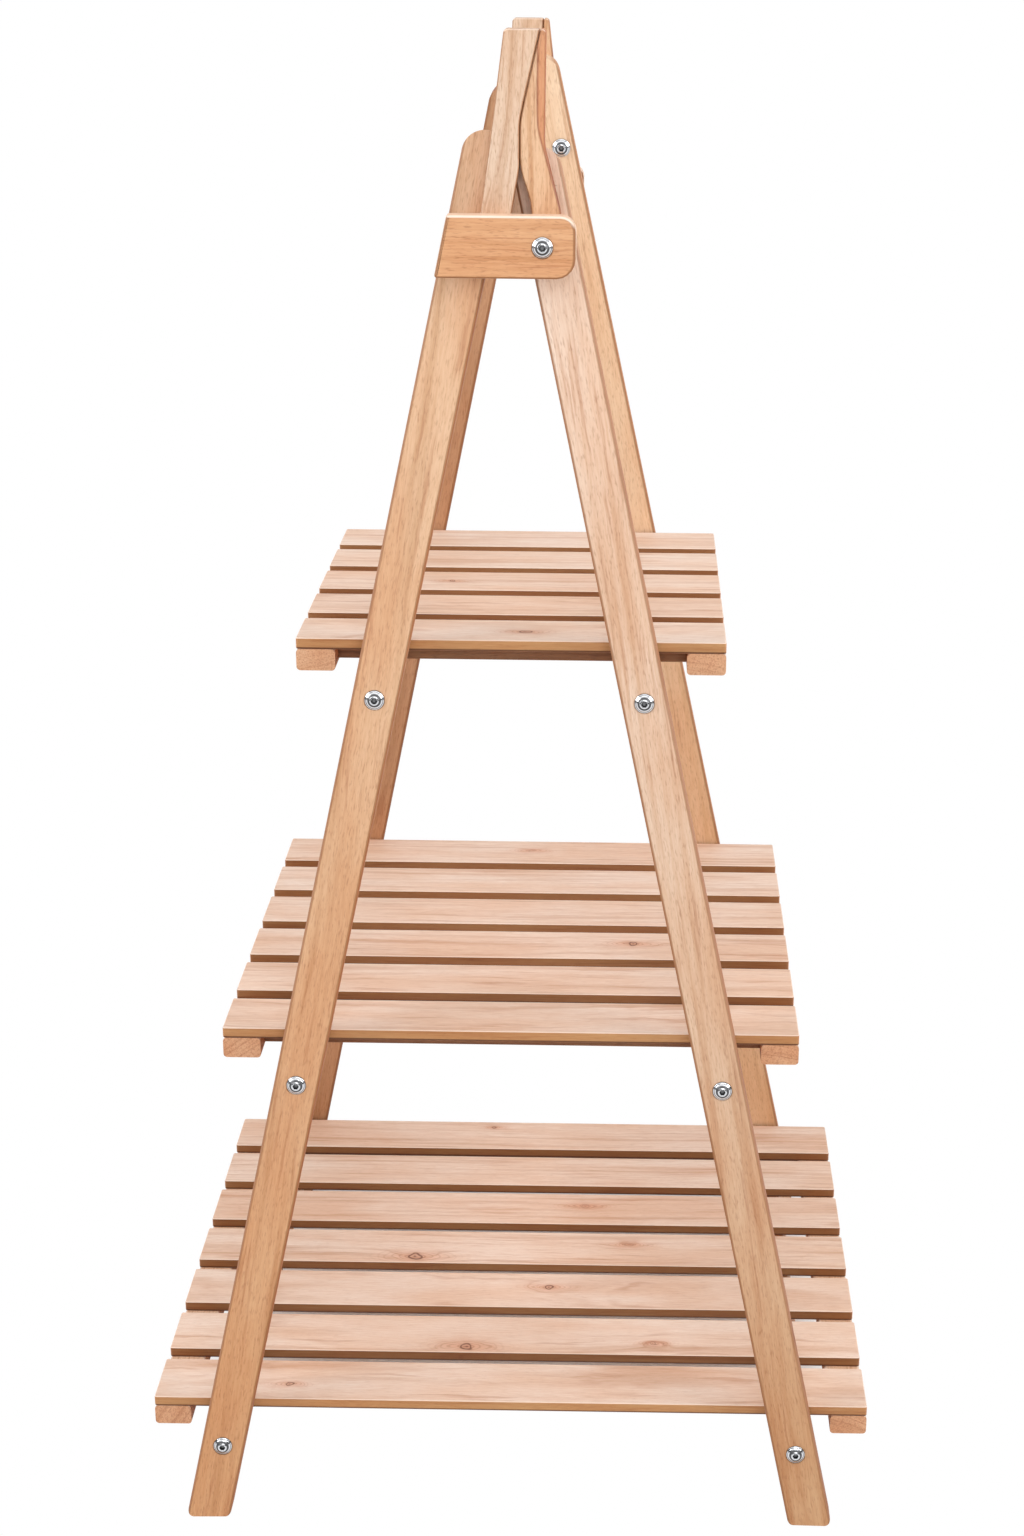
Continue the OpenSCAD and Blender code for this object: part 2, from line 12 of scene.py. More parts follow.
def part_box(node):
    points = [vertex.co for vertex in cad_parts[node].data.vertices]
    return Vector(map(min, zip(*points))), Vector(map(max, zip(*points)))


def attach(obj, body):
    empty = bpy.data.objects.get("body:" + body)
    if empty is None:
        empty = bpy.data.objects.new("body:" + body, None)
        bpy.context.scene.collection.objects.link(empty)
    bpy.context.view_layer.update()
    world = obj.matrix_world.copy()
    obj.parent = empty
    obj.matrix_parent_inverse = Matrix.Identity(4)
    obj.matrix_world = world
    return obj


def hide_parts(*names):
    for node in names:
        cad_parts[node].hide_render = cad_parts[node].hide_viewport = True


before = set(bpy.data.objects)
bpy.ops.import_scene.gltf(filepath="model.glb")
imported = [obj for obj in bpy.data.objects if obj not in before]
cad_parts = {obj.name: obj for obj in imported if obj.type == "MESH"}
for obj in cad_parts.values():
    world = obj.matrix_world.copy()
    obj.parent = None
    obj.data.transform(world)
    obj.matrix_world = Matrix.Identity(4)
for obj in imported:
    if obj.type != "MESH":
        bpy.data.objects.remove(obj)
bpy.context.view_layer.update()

MM = 0.001

# ---- Sizes that the construction shares with this file ----
LEAN = math.radians(12)          # each ladder leans in towards the hinge
SPLAY = math.radians(6.232)      # the legs close in from front and back
LEG_L = 1130.0
SLAT_T = 9.0
SLAT_EDGE_R = 1.0                # rounded long edges of a slat
HEAD_R = 7.5                     # bolts' domed heads
HEAD_H = 4.0
SHANK_R = 3.0
SOCKET_AF = 4.0                  # hex sockets, across the flats
SOCKET_DEPTH = 2.5
SCREW_HEAD_R = 3.5               # countersunk screws in the battens
SCREW_R = 1.75
SCREW_TIP_L = 4.0

# ---- Sizes of the finish ----
RUN_OUT = math.radians(3)        # angle between a leg's grain and its edges
SLAT_CORNER_R = 1.8              # rounded corners of a slat, seen from above
EASED = {"leg": 0.8, "arm": 1.4, "bracket": 2.4, "batten": 0.6, "rung": 0.6, "rail": 0.6}
LOWER_SHADE_LINE = (2.2, 0.8)            # above a slat's underside, where the painted shade along its lower arris begins and is full
OUTER_EDGE = (6.0, 3.0)          # from a shelf's front or back, where the outer tint begins and is full

# ---- Sizes for reading the CAD meshes ----
SAME_POINT = 0.002               # points nearer than this are one
HOLE_FACET = 1.6                 # facets round a hole are shorter than this
SAME_HOLE = 0.5                  # rims nearer than this along the grain belong to one hole
IN_CUT = 0.001                   # points nearer than this to a cut lie in it

SHELVES = ("top", "middle", "bottom")
SIDES = {"left": -1, "right": 1}
ENDS = {"front": -1, "back": 1}

# Knots in the slats' tops: x, y, radius, and how dark the heart is
KNOTS = {
    "top": [(-58, -1, 2.2, 1.0), (10, -146, 3.0, 1.0)],
    "middle": [(96, -32, 3.4, 1.0), (0, 181, 2.6, 0.3)],
    "bottom": [
        (-98, -17, 4.6, 1.0), (26, -66, 3.0, 1.0), (-42, -161, 4.2, 1.0), (-185, -220, 2.4, 1.0),
        (-40, 229, 1.8, 1.0), (55, 76, 3.2, 0.3), (97, 8, 2.8, 0.3), (120, -152, 2.4, 0.5),
    ],
}


# ---- Colours, nodes and meshes ----

def linear(hex_colour):
    """An sRGB hex colour as the linear RGBA that Blender's sockets take."""
    channels = [int(hex_colour[i:i + 2], 16) / 255 for i in (1, 3, 5)]
    return [c / 12.92 if c <= 0.04045 else ((c + 0.055) / 1.055) ** 2.4 for c in channels] + [1.0]


def add_node(tree, kind, inputs=None, **settings):
    """Adds a node. Inputs are named or numbered; a value may be a node or an output to link."""
    node = tree.nodes.new(kind)
    for name, value in settings.items():
        setattr(node, name, value)
    for key, value in (inputs or {}).items():
        named = [s for s in node.inputs if s.enabled and s.name == key]
        socket = named[0] if named else node.inputs[key]
        if isinstance(value, bpy.types.Node):
            value = next(s for s in value.outputs if s.enabled)
        if isinstance(value, bpy.types.NodeSocket):
            tree.links.new(value, socket)
        else:
            socket.default_value = value
    return node


def maths(tree, operation, *values):
    """One step of arithmetic on numbers. A value may be a node or an output to link."""
    return add_node(tree, "ShaderNodeMath", dict(enumerate(values)), operation=operation)


def vector_maths(tree, operation, *values):
    """One step of arithmetic on vectors."""
    return add_node(tree, "ShaderNodeVectorMath", dict(enumerate(values)), operation=operation)


def ramp(tree, value, start, end, smooth=True):
    """0 before the start, 1 past the end, and smooth or straight in between."""
    return add_node(tree, "ShaderNodeMapRange", {"Value": value, "From Min": start, "From Max": end},
                    interpolation_type="SMOOTHSTEP" if smooth else "LINEAR")


def mixed(tree, factor, first, second, blend="MIX"):
    """The first colour where the factor is 0, the second where it is 1. Colours are hex or nodes."""
    first, second = (linear(c) if isinstance(c, str) else c for c in (first, second))
    return add_node(tree, "ShaderNodeMix", {"Factor": factor, "A": first, "B": second},
                    data_type="RGBA", blend_type=blend)


def new_group(name, kind, inputs, outputs):
    """A node group with named sockets; inputs and outputs are (name, socket type) pairs."""
    tree = bpy.data.node_groups.new(name, kind)
    for direction, sockets in (("INPUT", inputs), ("OUTPUT", outputs)):
        for socket_name, socket_type in sockets:
            tree.interface.new_socket(socket_name, in_out=direction, socket_type="NodeSocket" + socket_type)
    return tree, add_node(tree, "NodeGroupInput").outputs


def new_material(name):
    """An empty node material, its tree and its output node."""
    material = bpy.data.materials.new(name)
    material.use_nodes = True
    material.node_tree.nodes.clear()
    return material, material.node_tree, add_node(material.node_tree, "ShaderNodeOutputMaterial")


def add_object(name, mesh):
    piece = bpy.data.objects.new(name, mesh)
    bpy.context.scene.collection.objects.link(piece)
    return piece


def mesh_from(work, name, smooth_angle):
    """Ends a bmesh as a mesh that is smooth up to an angle in degrees."""
    mesh = bpy.data.meshes.new(name)
    work.to_mesh(mesh)
    work.free()
    smooth_by_angle(mesh, smooth_angle)
    return mesh


def smooth_by_angle(mesh, degrees):
    mesh.shade_smooth()
    mesh.set_sharp_from_angle(angle=math.radians(degrees))


def flat_faces(piece):
    """Shades rounded edges smooth and keeps the broad faces between them flat to the eye."""
    smooth_by_angle(piece.data, 35)
    weighted = piece.modifiers.new("flat_faces", "WEIGHTED_NORMAL")
    weighted.keep_sharp = True
    bake_modifiers(piece)


def bake_modifiers(piece):
    """Turns a piece with its modifiers into a plain mesh."""
    graph = bpy.context.evaluated_depsgraph_get()
    mesh = bpy.data.meshes.new_from_object(piece.evaluated_get(graph), depsgraph=graph)
    piece.modifiers.clear()
    piece.data = mesh


# ---- Wood ----

def knot_group():
    """A knot: how far it pushes the rings apart, how dark it is, and its reddish surroundings."""
    tree, given = new_group("knot", "ShaderNodeTree",
                            [("Place", "Vector"), ("Knot", "Vector"), ("Radius", "Float")],
                            [("Lift", "Float"), ("Stain", "Float"), ("Halo", "Float"), ("Contours", "Float")])
    # its outline wanders by up to 4.5 mm along the grain and 2 mm across it
    wobble = add_node(tree, "ShaderNodeTexNoise", {"Vector": given["Place"], "Scale": 0.09, "Detail": 1.0})
    wobble = vector_maths(tree, "MULTIPLY_ADD", wobble.outputs["Color"], (9.0, 4.0, 0.0), (-4.5, -2.0, 0.0))
    bent = vector_maths(tree, "ADD", given["Place"], wobble)
    away = vector_maths(tree, "SUBTRACT", bent, given["Knot"])
    sizes = vector_maths(tree, "DIVIDE", away, given["Radius"])

    def hill(across):
        """A smooth oval hill, longer along the grain."""
        flat = vector_maths(tree, "MULTIPLY", sizes, across)
        far = vector_maths(tree, "DOT_PRODUCT", flat, flat)
        fall = maths(tree, "MULTIPLY", far.outputs["Value"], -1.0)
        return maths(tree, "EXPONENT", fall)

    height = maths(tree, "MULTIPLY", given["Radius"], 2.2)
    lift = maths(tree, "MULTIPLY", hill((0.2, 0.44, 0.0)), height)

    # oval contour lines around it, half a knot's radius apart across the grain
    line_gap = 0.24
    oval = vector_maths(tree, "MULTIPLY", sizes, (0.16, 0.5, 0.0))
    ovals = vector_maths(tree, "LENGTH", oval)
    wave = maths(tree, "MULTIPLY", ovals.outputs["Value"], 2 * math.pi / line_gap)
    wave = maths(tree, "SINE", wave)
    wave = ramp(tree, wave, 0.2, 1.0)
    contours = maths(tree, "MULTIPLY", wave, hill((0.15, 0.46, 0.0)))

    # dark heart, lighter body, dark rim: how far out, in knots' widths, and how dark
    round_knot = vector_maths(tree, "MULTIPLY", sizes, (0.45, 0.5, 0.0))
    reach = vector_maths(tree, "LENGTH", round_knot)
    shades = add_node(tree, "ShaderNodeValToRGB", {"Fac": reach.outputs["Value"]})
    stops = shades.color_ramp.elements
    stops[0].position, stops[0].color = 0.0, (1, 1, 1, 1)
    stops[1].position, stops[1].color = 1.0, (0, 0, 0, 1)
    for far_out, dark in ((0.1, 0.75), (0.18, 0.2), (0.36, 0.2), (0.43, 1.0), (0.54, 1.0), (0.63, 0.15),
                          (0.8, 0.04)):
        stops.new(far_out).color = (dark, dark, dark, 1)
    add_node(tree, "NodeGroupOutput",
             {"Lift": lift, "Stain": shades.outputs["Color"], "Halo": hill((0.17, 0.5, 0.0)),
              "Contours": contours})
    return tree


def figure_group():
    """The figure of a pine board whose grain runs along x; places are in millimetres."""
    tree, given = new_group("pine_figure", "ShaderNodeTree",
                            [("Place", "Vector"), ("Board", "Float"), ("Lift", "Float"), ("Ring", "Float")],
                            [(part, "Float") for part in ("Latewood", "Lines", "Fibres", "Pores", "Mottle",
                                                          "Tone", "Ends")])
    # each board is cut from another place in the trunk
    cut = add_node(tree, "ShaderNodeVectorMath", {0: (937, 211, 173), "Scale": given["Board"]},
                   operation="SCALE")
    place = vector_maths(tree, "ADD", given["Place"], cut)

    # the grain wanders slowly and ripples finely across the board
    wandered = place
    for length, width, across in ((300, 70, 10.0), (44, 14, 2.0), (15, 6, 0.7)):
        grain = vector_maths(tree, "MULTIPLY", place, (1 / length, 1 / width, 1 / width))
        noise = add_node(tree, "ShaderNodeTexNoise", {"Vector": grain, "Scale": 1.0, "Detail": 1.0})
        centred = vector_maths(tree, "SUBTRACT", noise.outputs["Color"], (0.5, 0.5, 0.5))
        shift = vector_maths(tree, "MULTIPLY", centred, (0, across, across))
        wandered = vector_maths(tree, "ADD", wandered, shift)

    # growth rings about a pith 84 mm below the board, and how they fade in and out along it
    from_pith = vector_maths(tree, "MULTIPLY_ADD", wandered, (0, 1, 1), (0, 12, 84))
    radius = vector_maths(tree, "LENGTH", from_pith)
    lifted = maths(tree, "ADD", radius.outputs["Value"], given["Lift"])
    along = add_node(tree, "ShaderNodeSeparateXYZ", {0: wandered})
    outputs = {}
    for name, lines_per_ring, length, low, high in (("Latewood", 1.0, 330, 0.46, 0.74),
                                                    ("Lines", 2.6, 110, 0.56, 0.7)):
        lines_per_mm = maths(tree, "DIVIDE", lines_per_ring, given["Ring"])
        rings = maths(tree, "MULTIPLY", lifted, lines_per_mm)
        slow = maths(tree, "MULTIPLY", along.outputs["X"], 1 / length)
        ring_place = add_node(tree, "ShaderNodeCombineXYZ", {"X": rings, "Y": slow})
        noise = add_node(tree, "ShaderNodeTexNoise",
                         {"Vector": ring_place, "Scale": 1.0, "Detail": 2.0, "Roughness": 0.55})
        outputs[name] = ramp(tree, noise.outputs["Fac"], low, high)

    # fibres are 0.3 mm wide on the real board and 1 mm here, so that they show
    for name, length, width, low, high in (("Fibres", 17, 1.1, 0.3, 0.7), ("Pores", 6, 1.1, 0.54, 0.74),
                                           ("Mottle", 130, 30, 0.35, 0.65), ("Ends", 1.3, 1.3, 0.5, 0.68)):
        scaled = vector_maths(tree, "MULTIPLY", wandered, (1 / length, 1 / width, 1 / width))
        noise = add_node(tree, "ShaderNodeTexNoise", {"Vector": scaled, "Scale": 1.0, "Detail": 1.5})
        outputs[name] = ramp(tree, noise.outputs["Fac"], low, high, smooth=False)
    tone = add_node(tree, "ShaderNodeTexWhiteNoise", {"W": given["Board"]}, noise_dimensions="1D")
    outputs["Tone"] = tone.outputs["Value"]
    add_node(tree, "NodeGroupOutput", outputs)
    return tree


def grain_turn(along, across):
    """The turn of a board whose grain runs along one vector and whose width along the other."""
    along, across = Vector(along).normalized(), Vector(across).normalized()
    return Matrix((along, across, along.cross(across))).transposed().to_euler()


def leg_grain(side, end):
    """A leg's grain runs up the leg, a little more upright than the leg was cut."""
    lean = Matrix.Rotation(-SIDES[side] * (LEAN - RUN_OUT), 3, "Y")
    turn = lean @ Matrix.Rotation(ENDS[end] * SPLAY, 3, "X")
    return grain_turn(turn @ Vector((0, 0, 1)), turn @ Vector((1, 0, 0)))


def tinted(tree, colour, mask, tint, strength=1.0, blend="MULTIPLY"):
    """Lays a tint, a hex colour or a node, over a colour where the mask is high."""
    return mixed(tree, maths(tree, "MULTIPLY", mask, strength), colour, tint, blend)


def knotted(tree, colour, knots, place, figure):
    """Stains a board round its knots and pushes its rings apart there."""
    lift = 0.0
    for x, y, radius, dark in knots:
        knot = add_node(tree, "ShaderNodeGroup", {"Place": place, "Knot": (x, y, 0), "Radius": radius},
                        node_tree=KNOT)
        colour = tinted(tree, colour, knot.outputs["Halo"], "#E9B795", 0.6)
        colour = tinted(tree, colour, knot.outputs["Contours"], "#B57F55", 0.4)
        colour = tinted(tree, colour, knot.outputs["Stain"], "#6E3A1C", 0.85 * dark, "MIX")
        lift = maths(tree, "ADD", lift, knot.outputs["Lift"])
    tree.links.new(lift.outputs[0], figure.inputs["Lift"])
    return colour


def arris_mask(tree, sides):
    """High where the surface faces along the board's thickness and sideways at once.

    The product of both is 0 on a flat side and 0.5 halfway round an arris.
    """
    sideways = add_node(tree, "ShaderNodeCombineXYZ", {"X": sides.outputs["X"], "Y": sides.outputs["Y"]})
    sideways = vector_maths(tree, "LENGTH", sideways)
    both = maths(tree, "MULTIPLY", sideways.outputs["Value"], sides.outputs["Z"])
    both = maths(tree, "ABSOLUTE", both)
    return ramp(tree, both, 0.18, 0.47)


def sanded_pine(name, early, late, turn=(0, 0, 0), board=0.0, ring=3.4, face="#FFFFFF", edge="#FFFFFF",
                end="#FFFFFF", foot="#FFFFFF", arris=0.5, pores=0.4, top=0.0, depth=0.0, gap_shade="#FFFFFF",
                knots=(), streak=None):
    """Sanded and oiled pine: low sheen, pale early wood, darker rings, fibres along the board.

    face, edge and end tint the broad sides, the narrow sides and the cut ends, foot the low end.
    arris says how strongly the painted highlight and shade on the eased arrises show, and pores how strongly
    the pores show.
    top is the height of a slat's upper face, where painted shade is to line the lower arris of its edges.
    depth is that of the row that it lies in; the narrow sides within the row take the gap colour, painted
    shade between the slats.
    board is a number, or the name of the attribute that tells one board from the next.
    """
    material, tree, output = new_material(name)
    source = add_node(tree, "ShaderNodeTexCoord")
    place = add_node(tree, "ShaderNodeMapping",
                     {"Vector": source.outputs["Object"], "Location": (0, 0, top * MM), "Rotation": turn,
                      "Scale": (MM, MM, MM)},
                     vector_type="TEXTURE")
    at = add_node(tree, "ShaderNodeSeparateXYZ", {0: place})
    if isinstance(board, str):
        board = add_node(tree, "ShaderNodeAttribute", attribute_name=board).outputs["Fac"]
    figure = add_node(tree, "ShaderNodeGroup", {"Place": place, "Board": board, "Ring": ring},
                      node_tree=FIGURE)

    colour = mixed(tree, figure.outputs["Latewood"], early, late)
    colour = tinted(tree, colour, figure.outputs["Tone"], "#FAF3EE")
    colour = tinted(tree, colour, figure.outputs["Mottle"], "#F7EADF")
    colour = tinted(tree, colour, figure.outputs["Lines"], "#CFA98D", 0.45)
    colour = tinted(tree, colour, figure.outputs["Fibres"], "#E9D6C6", 0.45)
    colour = tinted(tree, colour, figure.outputs["Pores"], "#B58C6C", pores)
    if knots:
        colour = knotted(tree, colour, knots, place, figure)
    if streak is not None:
        band, line = streak(tree, at)
        colour = tinted(tree, colour, band, "#E2AA82", 0.7)
        colour = tinted(tree, colour, line, "#A9683F", 0.8)
    towards_foot = ramp(tree, at.outputs["X"], LEG_L, 0.0, smooth=False)
    colour = tinted(tree, colour, towards_foot, foot)

    # how squarely the surface faces along each of the board's axes; x runs along the grain
    facing = add_node(tree, "ShaderNodeMapping", {"Vector": source.outputs["Normal"], "Rotation": turn},
                      vector_type="TEXTURE")
    sides = add_node(tree, "ShaderNodeSeparateXYZ", {0: facing})
    square_on = {}
    for axis in ("X", "Y", "Z"):
        size = maths(tree, "ABSOLUTE", sides.outputs[axis])
        square_on[axis] = ramp(tree, size, 0.6, 0.8)

    # cut ends show the open fibres as dots
    dots = maths(tree, "MULTIPLY", square_on["X"], figure.outputs["Ends"])
    colour = tinted(tree, colour, dots, "#C79A7C", 0.45)
    if depth:
        # within the row the narrow sides take the darker gap colour, painted shade between the slats; the
        # shelf's front and back keep the edge tint
        aside = maths(tree, "ABSOLUTE", at.outputs["Y"])
        outer = ramp(tree, aside, depth / 2 - OUTER_EDGE[0], depth / 2 - OUTER_EDGE[1], smooth=False)
        edge = mixed(tree, outer, gap_shade, edge)
    for axis, tint in (("Z", face), ("Y", edge), ("X", end)):
        colour = tinted(tree, colour, square_on[axis], tint)
    if top:
        # painted shade: the lowest millimetres of a slat's narrow sides are darkened along the lower arris
        painted_low_shade = ramp(tree, at.outputs["Z"], LOWER_SHADE_LINE[0] - SLAT_T, LOWER_SHADE_LINE[1] - SLAT_T)
        painted_low_shade = maths(tree, "MULTIPLY", painted_low_shade, square_on["Y"])
        colour = tinted(tree, colour, painted_low_shade, "#6A4428")

    # painted light: an eased arris takes a painted highlight where it faces up and painted shade where it
    # faces down
    upwards = add_node(tree, "ShaderNodeSeparateXYZ", {0: source.outputs["Normal"]})
    lit = ramp(tree, upwards.outputs["Z"], 0.2, 0.5, smooth=False)
    rim = mixed(tree, lit, "#8F5B30", "#F5E0CF")
    colour = tinted(tree, colour, arris_mask(tree, sides), rim, arris, "MIX")

    # lines and fibres stand 0.05 mm proud after sanding, and pores lie as deep
    relief = maths(tree, "MULTIPLY", figure.outputs["Fibres"], 0.6)
    relief = maths(tree, "ADD", relief, figure.outputs["Lines"])
    relief = maths(tree, "SUBTRACT", relief, figure.outputs["Pores"])
    bump = add_node(tree, "ShaderNodeBump", {"Height": relief, "Distance": 0.08 * MM, "Strength": 0.6})
    rough = add_node(tree, "ShaderNodeMapRange",
                     {"Value": figure.outputs["Fibres"], "To Min": 0.55, "To Max": 0.7})
    shader = add_node(tree, "ShaderNodeBsdfPrincipled",
                      {"Base Color": colour, "Roughness": rough, "IOR": 1.5, "Normal": bump})
    tree.links.new(shader.outputs["BSDF"], output.inputs["Surface"])
    return material


# ---- Metal ----

def nickel_steel(name):
    """Nickel-plated steel, bright where a highlight is painted on it, dark where shade and dark reflections
    are painted, as in the turned groove and the socket.
    """
    material, tree, output = new_material(name)
    painted_reflection = add_node(tree, "ShaderNodeAttribute", attribute_name="painted_reflection")
    colour = mixed(tree, painted_reflection.outputs["Fac"], "#2A2B2D", "#E2E4E8")
    rough = add_node(tree, "ShaderNodeMapRange",
                     {"Value": painted_reflection.outputs["Fac"], "To Min": 0.5, "To Max": 0.14})
    shader = add_node(tree, "ShaderNodeBsdfPrincipled",
                      {"Base Color": colour, "Metallic": 1.0, "Roughness": rough})
    tree.links.new(shader.outputs["BSDF"], output.inputs["Surface"])
    return material


def turned_metal(name, colours, roughness):
    """Plain turned metal with fine tool marks, its colour wandering between two."""
    tool_mark = 0.6
    material, tree, output = new_material(name)
    place = add_node(tree, "ShaderNodeTexCoord").outputs["Object"]
    marks = add_node(tree, "ShaderNodeTexNoise",
                     {"Vector": place, "Scale": 1 / (tool_mark * MM), "Detail": 2.0})
    rough = add_node(tree, "ShaderNodeMapRange",
                     {"Value": marks.outputs["Fac"], "To Min": roughness - 0.08, "To Max": roughness + 0.12})
    tone = mixed(tree, marks.outputs["Fac"], *colours)
    shader = add_node(tree, "ShaderNodeBsdfPrincipled",
                      {"Base Color": tone, "Metallic": 1.0, "Roughness": rough})
    tree.links.new(shader.outputs["BSDF"], output.inputs["Surface"])
    return material


# ---- Boards that keep their CAD shape ----

def is_sharp(edge):
    """Whether two faces meet at more than 40 degrees."""
    return edge.calc_face_angle(0) > math.radians(40)


def is_rim(edge):
    """Whether a sharp edge runs round a hole, whose wall is a ring of narrow facets in a hollow."""
    wall = min(edge.link_faces, key=lambda face: face.calc_area())
    hollow = any(e.calc_face_angle_signed(0) < -0.01 for e in wall.edges if e is not edge)
    return hollow and edge.calc_length() < HOLE_FACET * MM


def rim_centres(work):
    """The middle of every hole's rim, in the order of the mesh's edges."""
    rims = [e for e in work.edges if is_sharp(e) and is_rim(e)]
    seen = set()
    centres = []
    for first in rims:
        if first in seen:
            continue
        seen.add(first)
        rim = [first]
        for edge in rim:
            joined = [e for vert in edge.verts for e in vert.link_edges if e in rims and e not in seen]
            seen.update(joined)
            rim.extend(joined)
        places = [vert.co for edge in rim for vert in edge.verts]
        centres.append(sum(places, Vector()) / len(places))
    return centres


def whole_board(node, along):
    """A copy of a CAD board in one piece, cut through its holes' middles, square to the grain.

    Between these cuts each flat face is one polygon with no hole in it, so its edges ease evenly.
    """
    work = bmesh.new()
    work.from_mesh(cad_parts[node].data)
    bmesh.ops.remove_doubles(work, verts=work.verts, dist=SAME_POINT * MM)
    flat = math.radians(0.5)
    bmesh.ops.dissolve_limit(work, angle_limit=flat, verts=work.verts, edges=work.edges)
    along = Vector(along)
    cuts = []
    for centre in rim_centres(work):
        if all(abs((centre - cut).dot(along)) > SAME_HOLE * MM for cut in cuts):
            cuts.append(centre)
            everything = work.verts[:] + work.edges[:] + work.faces[:]
            bmesh.ops.bisect_plane(work, geom=everything, plane_co=centre, plane_no=along)

    def lies_in_cut(edge):
        first, second = (vert.co for vert in edge.verts)
        square = abs((second - first).dot(along)) <= IN_CUT * MM
        return square and any(abs((first - cut).dot(along)) <= IN_CUT * MM for cut in cuts)

    loose = [edge for edge in work.edges if not lies_in_cut(edge)]
    bmesh.ops.dissolve_limit(work, angle_limit=flat, verts=work.verts, edges=loose)
    return work


def sanded(node, body, material, ease, along, held=True):
    """A CAD board with its sharp arrises eased, as sandpaper leaves them.

    held keeps the easing within the narrow facets of a board whose long edges are rounded already.
    """
    name = "sanded_" + node
    work = whole_board(node, along)
    eased = work.edges.layers.float.new("bevel_weight_edge")
    for edge in work.edges:
        edge[eased] = float(is_sharp(edge) and not is_rim(edge))
    mesh = bpy.data.meshes.new(name)
    work.to_mesh(mesh)
    work.free()
    piece = add_object(name, mesh)
    bevel = piece.modifiers.new("eased_edges", "BEVEL")
    bevel.width = ease * MM
    bevel.segments = 3
    bevel.limit_method = "WEIGHT"
    bevel.use_clamp_overlap = held
    bake_modifiers(piece)
    flat_faces(piece)
    piece.data.materials.append(material)
    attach(piece, body)
    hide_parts(node)
    return piece


# ---- Slats, laid in a row by one tree ----

def slat_mesh(name, low, high):
    """One board between two corners, with rounded corners in plan and rounded long edges."""
    work = bmesh.new()
    bmesh.ops.create_cube(work, size=1.0)
    for vert in work.verts:
        vert.co = Vector([low[i] + (vert.co[i] + 0.5) * (high[i] - low[i]) for i in range(3)])
    upright = [e for e in work.edges if abs(e.verts[0].co.z - e.verts[1].co.z) > MM]
    bmesh.ops.bevel(work, geom=upright, offset=SLAT_CORNER_R * MM, segments=4, profile=0.5, affect="EDGES")
    rims = [e for e in work.edges if is_sharp(e) and abs(e.verts[0].co.z - e.verts[1].co.z) < MM]
    bmesh.ops.bevel(work, geom=rims, offset=SLAT_EDGE_R * MM, segments=3, profile=0.5, affect="EDGES")
    return mesh_from(work, name, 35)


def slat_tree(material):
    """Lays slats in a row along y and gives each a number of its own for its grain."""
    tree, given = new_group("lay_slats", "GeometryNodeTree",
                            [("Slat", "Geometry"), ("Count", "Int"), ("Pitch", "Float"), ("Seed", "Int")],
                            [("Slats", "Geometry")])
    step = add_node(tree, "ShaderNodeCombineXYZ", {"Y": given["Pitch"]})
    row = add_node(tree, "GeometryNodeMeshLine", {"Count": given["Count"], "Offset": step})
    laid = add_node(tree, "GeometryNodeInstanceOnPoints", {"Points": row, "Instance": given["Slat"]})
    number = add_node(tree, "FunctionNodeRandomValue", {"Seed": given["Seed"]}, data_type="FLOAT")
    marked = add_node(tree, "GeometryNodeStoreNamedAttribute",
                      {"Geometry": laid, "Name": "board", "Value": number},
                      data_type="FLOAT", domain="INSTANCE")
    real = add_node(tree, "GeometryNodeRealizeInstances", {"Geometry": marked})
    finished = add_node(tree, "GeometryNodeSetMaterial", {"Geometry": real, "Material": material})
    add_node(tree, "NodeGroupOutput", {0: finished})
    return tree


def use_tree(piece, tree, **values):
    """Runs a tree on a piece, with its inputs set by their identifiers, and keeps the plain mesh."""
    modifier = piece.modifiers.new(tree.name, "NODES")
    modifier.node_group = tree
    for item in tree.interface.items_tree:
        if item.item_type == "SOCKET" and item.in_out == "INPUT" and item.name in values:
            modifier[item.identifier] = values[item.name]
    bake_modifiers(piece)


def lay_shelf(shelf, seed, material):
    """All slats of one shelf, in the places of its CAD slats."""
    nodes = sorted(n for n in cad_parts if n.startswith(shelf + "_slat_"))
    low, high = (Vector(corner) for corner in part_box(nodes[0]))
    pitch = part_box(nodes[1])[0][1] - low.y
    name = shelf + "_slats"
    piece = add_object(name, slat_mesh(name, low, high))
    use_tree(piece, slat_tree(material), Count=len(nodes), Pitch=pitch, Seed=seed)
    flat_faces(piece)
    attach(piece, shelf + "_shelf")
    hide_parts(*nodes)
    return piece


# ---- Bolts and screws, set by one tree ----

def hex_ring(across_flats):
    """Radius of a hexagon at an angle, with a corner at angle 0."""
    return lambda angle: across_flats / 2 / math.cos((angle % (math.pi / 3)) - math.pi / 6)


def lathe(name, rings):
    """A turned solid, from its lower end up. A ring is its radius, height and painted reflection."""
    steps = 48
    work = bmesh.new()
    painted_reflection = work.verts.layers.float.new("painted_reflection")
    rows = []
    for radius, height, shine in rings:
        row = []
        for k in range(steps):
            angle = 2 * math.pi * k / steps
            r = radius(angle) if callable(radius) else radius
            vert = work.verts.new((r * MM * math.cos(angle), r * MM * math.sin(angle), height * MM))
            vert[painted_reflection] = shine
            row.append(vert)
        rows.append(row)
    for lower, upper in zip(rows, rows[1:]):
        for k in range(steps):
            following = (k + 1) % steps
            work.faces.new((lower[k], lower[following], upper[following], upper[k]))
    work.faces.new(list(reversed(rows[0])))
    work.faces.new(rows[-1])
    return mesh_from(work, name, 40)


